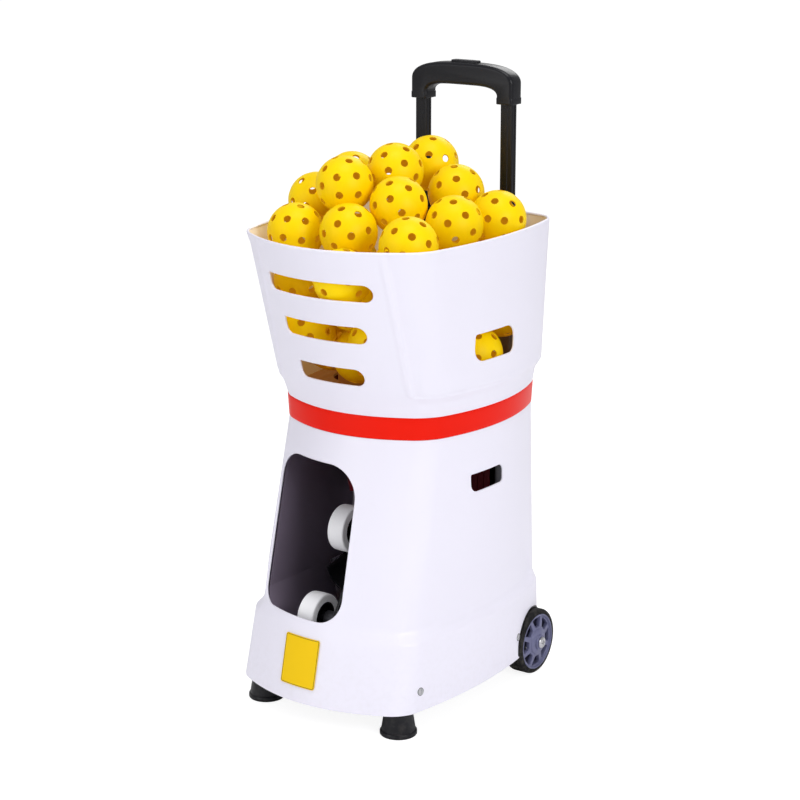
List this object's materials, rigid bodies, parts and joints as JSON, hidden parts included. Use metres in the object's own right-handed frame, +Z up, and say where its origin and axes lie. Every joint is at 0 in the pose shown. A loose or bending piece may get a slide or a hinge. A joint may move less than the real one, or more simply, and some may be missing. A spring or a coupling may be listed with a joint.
{
  "type": "pickleball machine",
  "caption": "Wheeled ball launcher: slotted hopper full of perforated balls over a flared casing with a front launch port, twin rollers, feed rotor and pull-out handle.",
  "frame": {"origin": "on the floor, under the middle of the object's outline", "axes": "+Z up, the launch port faces -Y, +X towards the side seen at the right of the port"},
  "size_m": [0.3166, 0.3866, 0.8225],
  "materials": {
    "white": "smooth gloss, faint lavender white",
    "band_red": "smooth gloss red-orange",
    "black": "fine satin black",
    "tyre_black": "matt black, lightly treaded",
    "wheel_grey": "satin grey-violet",
    "duct_grey": "matt dark grey-violet",
    "maroon": "satin dark red-brown",
    "tread_white": "fine-ribbed light grey",
    "steel": "turned and polished",
    "motor_grey": "dark grey coat",
    "gear_white": "natural moulded",
    "board_green": "green laminate",
    "battery_blue": "blue shrink sleeve",
    "display_glass": "smoked gloss",
    "label_yellow": "plain yellow film",
    "ball_yellow": "smooth satin yellow"
  },
  "bodies": {
    "machine": {"lower_shell": "white", "waist_band": "band_red", "hopper_shell": "white", "hopper_floor": "duct_grey", "base_plate": "motor_grey", "front_foot_left": "black", "front_foot_right": "black", "wheel_axle": "steel", "axle_bracket_left": "motor_grey", "axle_bracket_right": "motor_grey", "handle_sleeve_left": "motor_grey", "handle_sleeve_right": "motor_grey", "handle_guide": "black", "port_shroud": "duct_grey", "drop_chute": "maroon", "feed_motor": "motor_grey", "yaw_bearing": "steel", "yaw_motor": "motor_grey", "battery_pack": "battery_blue", "control_board": "board_green", "rear_panel": "black", "charge_socket": "steel", "display_window": "display_glass", "label_plate": "label_yellow", "side_screw_left_front": "steel", "side_screw_left_rear": "steel", "side_screw_right_front": "steel", "side_screw_right_rear": "steel"},
    "left_wheel": {"tyre_left": "tyre_black", "wheel_rim_left": "wheel_grey", "hub_cap_left": "steel"},
    "right_wheel": {"tyre_right": "tyre_black", "wheel_rim_right": "wheel_grey", "hub_cap_right": "steel"},
    "handle": {"handle_tube_left": "black", "handle_tube_right": "black", "handle_grip": "black"},
    "handle_button": {"release_button": "black"},
    "rotor": {"feed_rotor": "black"},
    "turntable": {"yaw_turntable": "gear_white", "yoke_frame": "black", "pitch_motor": "motor_grey"},
    "turn_pinion": {"yaw_pinion": "gear_white"},
    "launch_head": {"head_plate": "black", "upper_motor": "motor_grey", "lower_motor": "motor_grey", "ball_trough": "black", "pitch_sector": "gear_white"},
    "upper_roller": {"upper_tread": "tread_white", "upper_hub": "black"},
    "lower_roller": {"lower_tread": "tread_white", "lower_hub": "black"},
    "tilt_pinion": {"pitch_pinion": "gear_white"},
    "power_switch": {"power_rocker": "band_red"},
    "plus_key": {"speed_key_plus": "tread_white"},
    "minus_key": {"speed_key_minus": "tread_white"},
    "ball_load": {"pickleballs": "ball_yellow"}
  },
  "joints": [
    {"name": "left_wheel_spin", "type": "hinge", "parent": "machine", "child": "left_wheel", "pos_m": [-0.137, 0.1413, 0.045], "axis": [1, 0, 0], "continuous": true},
    {"name": "right_wheel_spin", "type": "hinge", "parent": "machine", "child": "right_wheel", "pos_m": [0.137, 0.1413, 0.045], "axis": [1, 0, 0], "continuous": true},
    {"name": "handle_slide", "type": "slide", "parent": "machine", "child": "handle", "axis": [0, 0, 1], "range_m": [-0.13, 0.2]},
    {"name": "release_press", "type": "slide", "parent": "handle", "child": "handle_button", "axis": [0, 0, -1], "range_m": [0, 0.003], "stiffness_N_per_m": 400, "springref_m": -0.001},
    {"name": "rotor_spin", "type": "hinge", "parent": "machine", "child": "rotor", "pos_m": [0, 0.055, 0.41], "axis": [0, 0, 1], "continuous": true},
    {"name": "head_turn", "type": "hinge", "parent": "machine", "child": "turntable", "pos_m": [-0.034, -0.03, 0.05], "axis": [0, 0, 1], "range_deg": [-12, 12]},
    {"name": "turn_pinion_spin", "type": "hinge", "parent": "machine", "child": "turn_pinion", "pos_m": [-0.07947, 0.01547, 0.05], "axis": [0, 0, 1], "range_deg": [-70, 70]},
    {"name": "head_tilt", "type": "hinge", "parent": "turntable", "child": "launch_head", "pos_m": [-0.034, -0.0797, 0.1745], "axis": [1, 0, 0], "range_deg": [-10, 24]},
    {"name": "tilt_pinion_spin", "type": "hinge", "parent": "turntable", "child": "tilt_pinion", "pos_m": [0.0698, -0.04767, 0.14247], "axis": [1, 0, 0], "range_deg": [-100, 100]},
    {"name": "upper_roller_spin", "type": "hinge", "parent": "launch_head", "child": "upper_roller", "pos_m": [-0.034, -0.04559, 0.22507], "axis": [1, 0, 0], "continuous": true},
    {"name": "lower_roller_spin", "type": "hinge", "parent": "launch_head", "child": "lower_roller", "pos_m": [-0.034, -0.11381, 0.12393], "axis": [1, 0, 0], "continuous": true},
    {"name": "power_tip", "type": "hinge", "parent": "machine", "child": "power_switch", "pos_m": [0.02, 0.1882, 0.226], "axis": [1, 0, 0], "range_deg": [-6, 6]},
    {"name": "plus_press", "type": "slide", "parent": "machine", "child": "plus_key", "axis": [0, -1, 0], "range_m": [0, 0.0015], "stiffness_N_per_m": 300, "springref_m": -0.001},
    {"name": "minus_press", "type": "slide", "parent": "machine", "child": "minus_key", "axis": [0, -1, 0], "range_m": [0, 0.0015], "stiffness_N_per_m": 300, "springref_m": -0.001},
    {"name": "ball_lift", "type": "slide", "parent": "machine", "child": "ball_load", "axis": [0, 0, 1], "range_m": [0, 0.3]}
  ],
  "couplings": [
    {"joint": "turn_pinion_spin", "follows": "head_turn", "ratio": -5.4},
    {"joint": "tilt_pinion_spin", "follows": "head_tilt", "ratio": -4}
  ]
}
